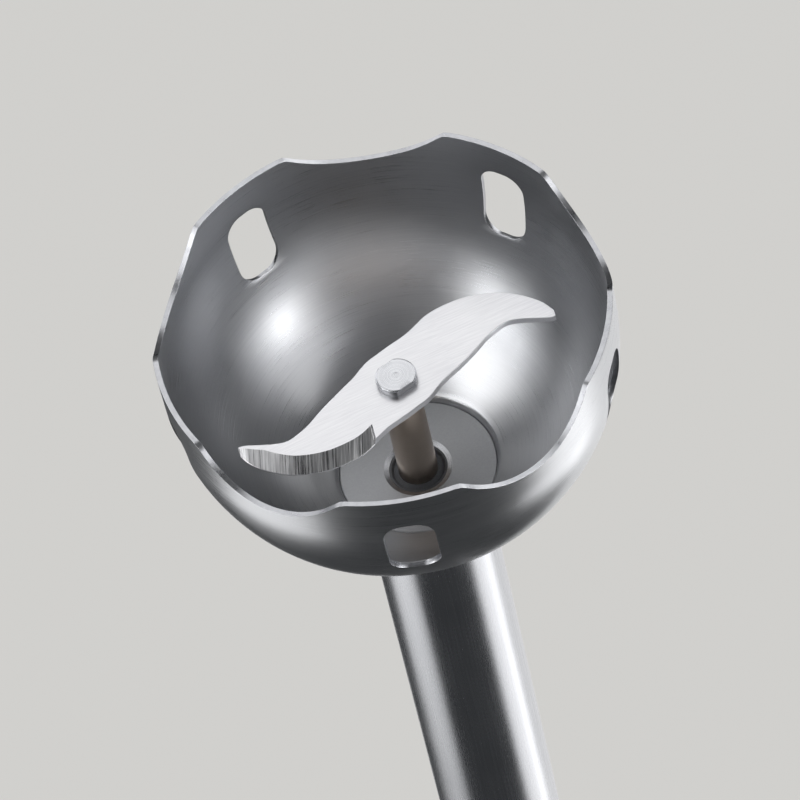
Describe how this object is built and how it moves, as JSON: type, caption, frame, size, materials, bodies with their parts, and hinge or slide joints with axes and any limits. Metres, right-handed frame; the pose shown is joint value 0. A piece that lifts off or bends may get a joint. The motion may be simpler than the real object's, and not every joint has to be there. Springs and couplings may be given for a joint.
{
  "type": "immersion blender",
  "caption": "Hand-held immersion blender: a motor handle with push buttons and a pull-off steel leg ending in a scalloped, windowed bell over an S-shaped blade.",
  "frame": {"origin": "centre of the handle's flat end, on which the blender stands with its bell up", "axes": "+Z along the blender from the handle's end to the bell's mouth, -Y towards the push buttons"},
  "size_m": [0.0668, 0.0668, 0.4],
  "materials": {
    "brushed_steel": "circumferentially brushed stainless sheet",
    "satin_steel": "satin stainless, ground edges",
    "carrier_steel": "bead-blasted matt stainless",
    "shaft_steel": "ground steel with a bronze cast",
    "turned_steel": "turned stainless",
    "screw_steel": "zinc-plated steel",
    "spring_steel": "spring wire",
    "bronze_bush": "sintered bronze",
    "copper": "enamelled copper wire",
    "brass_holder": "pressed brass",
    "laminations": "stacked electrical steel",
    "carbon": "graphite, density of plastic assumed",
    "seal_rubber": "black silicone",
    "grip_rubber": "soft-touch elastomer",
    "black_plastic": "fine-textured ABS",
    "grey_plastic": "glass-filled nylon",
    "gloss_black": "polished ABS",
    "button_grey": "satin ABS",
    "white_nylon": "acetal",
    "board_green": "glass-epoxy board",
    "yellow_film": "epoxy-dipped film capacitor"
  },
  "bodies": {
    "motor_unit": {"brush_holders": "brass_holder", "brush_springs": "spring_steel", "button_bezel": "gloss_black", "button_switches": "gloss_black", "cap_screws": "screw_steel", "carbon_brushes": "carbon", "circuit_board": "board_green", "clamp_screws": "screw_steel", "cord_clamp": "grey_plastic", "cord_inlet": "seal_rubber", "dial_sensor": "board_green", "end_cap": "black_plastic", "field_coils": "copper", "front_shell": "black_plastic", "grip_sleeve": "grip_rubber", "housing_screws": "screw_steel", "lower_bearing": "turned_steel", "lower_bridge": "grey_plastic", "motor_dampers": "seal_rubber", "motor_nose": "black_plastic", "motor_screws": "screw_steel", "on_button_sleeve": "seal_rubber", "plug_seal": "seal_rubber", "rear_shell": "black_plastic", "release_spring_left": "spring_steel", "release_spring_right": "spring_steel", "stator_core": "laminations", "steel_band": "brushed_steel", "suppression_capacitor": "yellow_film", "turbo_button_sleeve": "seal_rubber", "upper_bearing": "turned_steel", "upper_bridge": "grey_plastic"},
    "rotor": {"drive_socket": "grey_plastic", "motor_shaft": "turned_steel", "cooling_fan": "white_nylon", "commutator": "copper", "armature_core": "laminations", "armature_windings": "copper"},
    "blending_leg": {"bell_guard": "brushed_steel", "leg_tube": "brushed_steel", "seal_carrier": "carrier_steel", "shaft_seal": "seal_rubber", "foot_bush": "bronze_bush", "leg_collar": "black_plastic", "collar_core": "grey_plastic", "collar_bush": "bronze_bush", "shaft_damper": "white_nylon"},
    "spindle": {"drive_shaft": "shaft_steel", "shaft_clip": "spring_steel", "thrust_washer": "spring_steel", "driven_coupling": "white_nylon", "blade": "satin_steel", "blade_nut": "turned_steel"},
    "on_button": {"on_button": "button_grey"},
    "turbo_button": {"turbo_button": "button_grey"},
    "speed_dial": {"speed_dial": "black_plastic", "dial_magnet": "screw_steel"},
    "release_button_right": {"release_button_right": "button_grey"},
    "release_button_left": {"release_button_left": "button_grey"}
  },
  "joints": [
    {"name": "rotor_spin", "type": "hinge", "parent": "motor_unit", "child": "rotor", "pos_m": [0, 0, 0.158], "axis": [0, 0, 1], "continuous": true},
    {"name": "leg_pull_off", "type": "slide", "parent": "motor_unit", "child": "blending_leg", "axis": [0, 0, 1], "range_m": [0, 0.06]},
    {"name": "blade_spin", "type": "hinge", "parent": "blending_leg", "child": "spindle", "pos_m": [0, 0, 0.3835], "axis": [0, 0, 1], "continuous": true},
    {"name": "on_button_press", "type": "slide", "parent": "motor_unit", "child": "on_button", "axis": [0, 1, 0], "range_m": [0, 0.002], "stiffness_N_per_m": 900, "springref_m": -0.002, "deforming": ["on_button_sleeve"]},
    {"name": "turbo_button_press", "type": "slide", "parent": "motor_unit", "child": "turbo_button", "axis": [0, 1, 0], "range_m": [0, 0.002], "stiffness_N_per_m": 900, "springref_m": -0.002, "deforming": ["turbo_button_sleeve"]},
    {"name": "speed_dial_turn", "type": "hinge", "parent": "motor_unit", "child": "speed_dial", "pos_m": [0, 0, 0.0185], "axis": [0, 0, 1], "range_deg": [0, 270]},
    {"name": "release_right_press", "type": "slide", "parent": "motor_unit", "child": "release_button_right", "axis": [-1, 0, 0], "range_m": [0, 0.002], "stiffness_N_per_m": 1200, "springref_m": -0.002, "deforming": ["release_spring_right"]},
    {"name": "release_left_press", "type": "slide", "parent": "motor_unit", "child": "release_button_left", "axis": [1, 0, 0], "range_m": [0, 0.002], "stiffness_N_per_m": 1200, "springref_m": -0.002, "deforming": ["release_spring_left"]}
  ],
  "couplings": [
    {"joint": "blade_spin", "follows": "rotor_spin", "ratio": 1}
  ]
}
